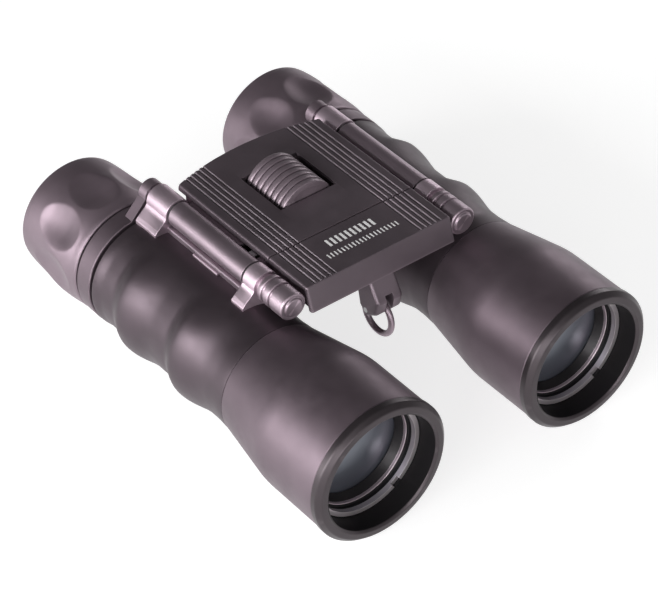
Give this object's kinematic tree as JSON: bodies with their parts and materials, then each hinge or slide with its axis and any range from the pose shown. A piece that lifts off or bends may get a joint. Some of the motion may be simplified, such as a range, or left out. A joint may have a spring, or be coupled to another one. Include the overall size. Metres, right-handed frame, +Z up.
{
  "type": "compact double-hinge binoculars",
  "caption": "Compact roof-prism binoculars: two folding barrels on a central bridge with a ribbed focusing wheel, sliding oculars and dimpled eyecups.",
  "frame": {"origin": "under the middle of the object, on the surface it lies on", "axes": "+Y from the objectives to the eyepieces, +Z up through the bridge, +X to the user's left barrel"},
  "size_m": [0.112, 0.141, 0.0522],
  "materials": {
    "shell_plastic": "fine matt paint",
    "armour_rubber": "soft-touch matt",
    "cover_plastic": "satin moulding",
    "satin_casting": "satin paint",
    "chassis_plastic": "matt black inside",
    "black_metal": "satin black anodised",
    "wheel_rubber": "ribbed, satin",
    "ring_metal": "satin anodised, brighter than its surroundings",
    "strap_wire": "dark coated wire",
    "steel": "turned",
    "brass": "turned",
    "alloy": "machined",
    "nylon": "plain",
    "coated_glass": "coated, grey-blue",
    "clear_glass": "polished"
  },
  "bodies": {
    "bridge": {"bridge_frame": "satin_casting", "rear_top_cover": "cover_plastic", "front_top_cover": "cover_plastic", "bottom_cover": "cover_plastic", "cover_screws": "steel", "wheel_bushes": "brass", "hinge_washers": "nylon", "strap_lug": "cover_plastic", "strap_pin": "steel"},
    "focus_wheel": {"focus_wheel": "wheel_rubber", "focus_screw": "brass"},
    "focus_yoke": {"focus_yoke": "alloy"},
    "strap_ring": {"strap_ring": "strap_wire"},
    "barrel_right": {"rim_ring_right": "shell_plastic", "objective_bell_right": "shell_plastic", "objective_retainer_right": "ring_metal", "objective_cell_right": "black_metal", "objective_crown_right": "coated_glass", "objective_flint_right": "clear_glass", "barrel_tube_right": "chassis_plastic", "armour_sleeve_right": "armour_rubber", "prism_housing_right": "chassis_plastic", "half_penta_prism_right": "clear_glass", "roof_prism_right": "clear_glass", "light_baffle_right": "chassis_plastic", "hinge_bracket_right": "satin_casting", "bracket_screws_right": "steel", "hinge_cap_right": "satin_casting"},
    "ocular_right": {"hinge_rod_right": "steel", "ocular_carrier_right": "shell_plastic"},
    "barrel_left": {"rim_ring_left": "shell_plastic", "objective_bell_left": "shell_plastic", "objective_retainer_left": "ring_metal", "objective_cell_left": "black_metal", "objective_crown_left": "coated_glass", "objective_flint_left": "clear_glass", "barrel_tube_left": "chassis_plastic", "armour_sleeve_left": "armour_rubber", "prism_housing_left": "chassis_plastic", "half_penta_prism_left": "clear_glass", "roof_prism_left": "clear_glass", "light_baffle_left": "chassis_plastic", "hinge_bracket_left": "satin_casting", "bracket_screws_left": "steel", "hinge_cap_left": "satin_casting"},
    "ocular_left": {"hinge_rod_left": "steel", "ocular_carrier_left": "shell_plastic", "eyecup_left": "armour_rubber", "lens_cell_left": "black_metal", "field_lens_left": "clear_glass", "eye_lens_left": "coated_glass", "ocular_retainer_left": "black_metal"},
    "dioptre_grip": {"eyecup_right": "armour_rubber"},
    "dioptre_cell": {"lens_cell_right": "black_metal", "field_lens_right": "clear_glass", "eye_lens_right": "coated_glass", "ocular_retainer_right": "black_metal"}
  },
  "joints": [
    {"name": "fold_right", "type": "hinge", "parent": "bridge", "child": "barrel_right", "pos_m": [-0.0287, 0, 0.0441], "axis": [0, -1, 0], "range_deg": [-8, 31]},
    {"name": "fold_left", "type": "hinge", "parent": "bridge", "child": "barrel_left", "pos_m": [0.0287, 0, 0.0441], "axis": [0, 1, 0], "range_deg": [-8, 31]},
    {"name": "focus_turn", "type": "hinge", "parent": "bridge", "child": "focus_wheel", "pos_m": [0, 0.014, 0.0432], "axis": [0, 1, 0], "range_deg": [-90, 360]},
    {"name": "yoke_slide", "type": "slide", "parent": "bridge", "child": "focus_yoke", "axis": [0, 1, 0], "range_m": [-0.00081, 0.00321]},
    {"name": "ocular_slide_right", "type": "slide", "parent": "barrel_right", "child": "ocular_right", "axis": [0, 1, 0], "range_m": [-0.00081, 0.00321]},
    {"name": "ocular_slide_left", "type": "slide", "parent": "barrel_left", "child": "ocular_left", "axis": [0, 1, 0], "range_m": [-0.0008, 0.0032]},
    {"name": "dioptre_turn", "type": "hinge", "parent": "ocular_right", "child": "dioptre_grip", "pos_m": [-0.0348, 0.0475, 0.0212], "axis": [0, 1, 0], "range_deg": [-40, 40]},
    {"name": "dioptre_slide", "type": "slide", "parent": "ocular_right", "child": "dioptre_cell", "axis": [0, 1, 0], "range_m": [-0.00051, 0.00051]},
    {"name": "strap_swing", "type": "hinge", "parent": "bridge", "child": "strap_ring", "pos_m": [0, -0.0249, 0.0301], "axis": [1, 0, 0], "range_deg": [-70, 50]}
  ],
  "couplings": [
    {"joint": "focus_turn", "follows": "ocular_slide_left", "rad_per_m": 1963.4},
    {"joint": "yoke_slide", "follows": "ocular_slide_left", "ratio": 1},
    {"joint": "ocular_slide_right", "follows": "ocular_slide_left", "ratio": 1},
    {"joint": "dioptre_slide", "follows": "dioptre_turn", "m_per_rad": 0.0007162}
  ]
}
